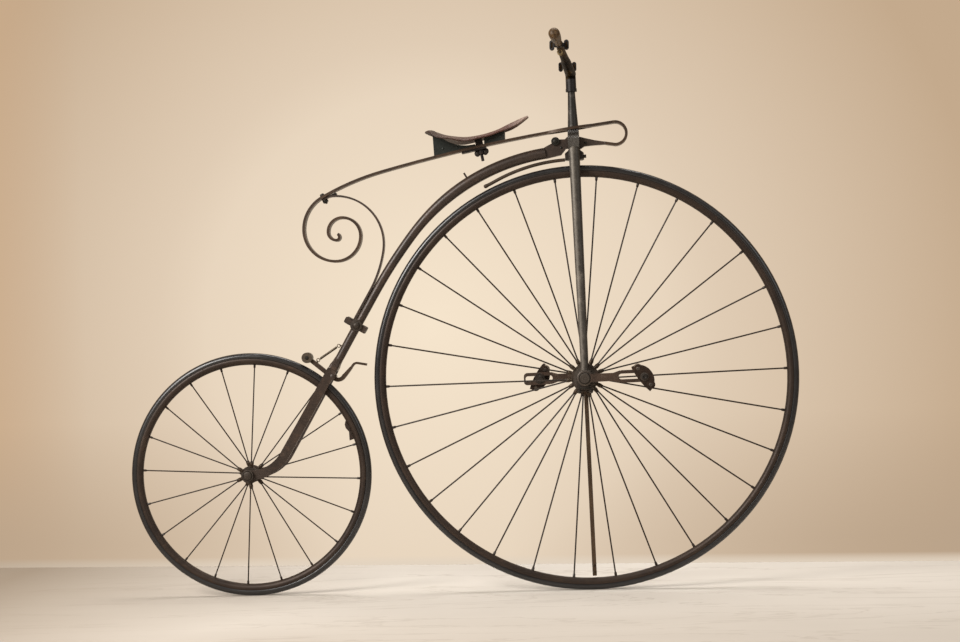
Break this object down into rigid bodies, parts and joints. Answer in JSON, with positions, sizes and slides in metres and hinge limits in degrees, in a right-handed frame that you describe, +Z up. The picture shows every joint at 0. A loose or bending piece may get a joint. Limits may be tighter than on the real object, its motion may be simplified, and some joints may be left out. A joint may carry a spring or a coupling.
{
  "type": "penny farthing bicycle",
  "caption": "High bicycle with a large driving wheel with tension levers, a small trailing wheel, an open steering head, slotted cranks, and a leather saddle on a scrolled leaf spring.",
  "frame": {"origin": "seat point on top of the saddle leather, above the leaf spring's clamp", "axes": "+X forward, +Y to the rider's left, +Z up"},
  "size_m": [1.7781, 0.6214, 1.437],
  "materials": {
    "frame_iron": "worn brown paint over iron, satin",
    "fork_iron": "worn grey-green paint over iron, satin",
    "dark_iron": "blackened iron, rubbed at the edges",
    "rim_iron": "rust-brown rim, matt",
    "spoke_iron": "brown oxidised wire",
    "tyre": "aged solid rubber, dull",
    "leather": "worn reddish-brown hide",
    "riser_paint": "dark green-black paint, satin",
    "bar_metal": "olive-brown worn paint over steel",
    "grip": "turned and varnished, worn"
  },
  "bodies": {
    "frame": {"backbone": "frame_iron", "neck_lug": "frame_iron", "saddle_spring": "frame_iron", "spring_stay": "frame_iron", "stay_collar": "dark_iron", "fork_blade_right": "frame_iron", "fork_blade_left": "frame_iron", "rear_axle": "dark_iron", "brake_lever": "dark_iron", "brake_roller": "frame_iron", "brake_spring": "spoke_iron", "saddle_leather": "leather", "saddle_riser_rear": "riser_paint", "saddle_riser_front": "riser_paint", "saddle_clamp": "dark_iron"},
    "fork": {"fork_crown": "dark_iron", "steering_column": "fork_iron", "bar_socket": "dark_iron", "leg_right": "fork_iron", "leg_left": "fork_iron", "bearing_cap_right": "dark_iron", "bearing_cap_left": "dark_iron", "lower_yoke": "dark_iron", "guard_rod": "frame_iron", "handlebar": "bar_metal", "grip_right": "grip", "grip_left": "grip", "wing_bolt_right": "dark_iron", "wing_bolt_left": "dark_iron"},
    "front_wheel": {"front_tyre": "tyre", "front_rim": "rim_iron", "front_spokes": "spoke_iron", "front_hub": "dark_iron", "tension_levers": "spoke_iron", "crank_right": "dark_iron", "crank_left": "dark_iron", "spindle_right": "dark_iron", "spindle_left": "dark_iron"},
    "pedal_right": {"pedal_right": "dark_iron"},
    "pedal_left": {"pedal_left": "dark_iron"},
    "rear_wheel": {"rear_tyre": "tyre", "rear_rim": "rim_iron", "rear_spokes": "spoke_iron", "rear_hub": "dark_iron", "rim_bracket": "dark_iron"}
  },
  "joints": [
    {"name": "steering", "type": "hinge", "parent": "frame", "child": "fork", "pos_m": [0.29, 0, -0.648], "axis": [-0.0209, 0, 0.9998], "range_deg": [-35, 35]},
    {"name": "front_wheel_spin", "type": "hinge", "parent": "fork", "child": "front_wheel", "pos_m": [0.29, 0, -0.648], "axis": [0, 1, 0], "continuous": true},
    {"name": "pedal_right_spin", "type": "hinge", "parent": "front_wheel", "child": "pedal_right", "pos_m": [0.44297, -0.125, -0.6448], "axis": [0, 1, 0], "continuous": true},
    {"name": "pedal_left_spin", "type": "hinge", "parent": "front_wheel", "child": "pedal_left", "pos_m": [0.16803, 0.125, -0.65055], "axis": [0, 1, 0], "continuous": true},
    {"name": "rear_wheel_spin", "type": "hinge", "parent": "frame", "child": "rear_wheel", "pos_m": [-0.606, 0, -0.8838], "axis": [0, 1, 0], "continuous": true}
  ]
}
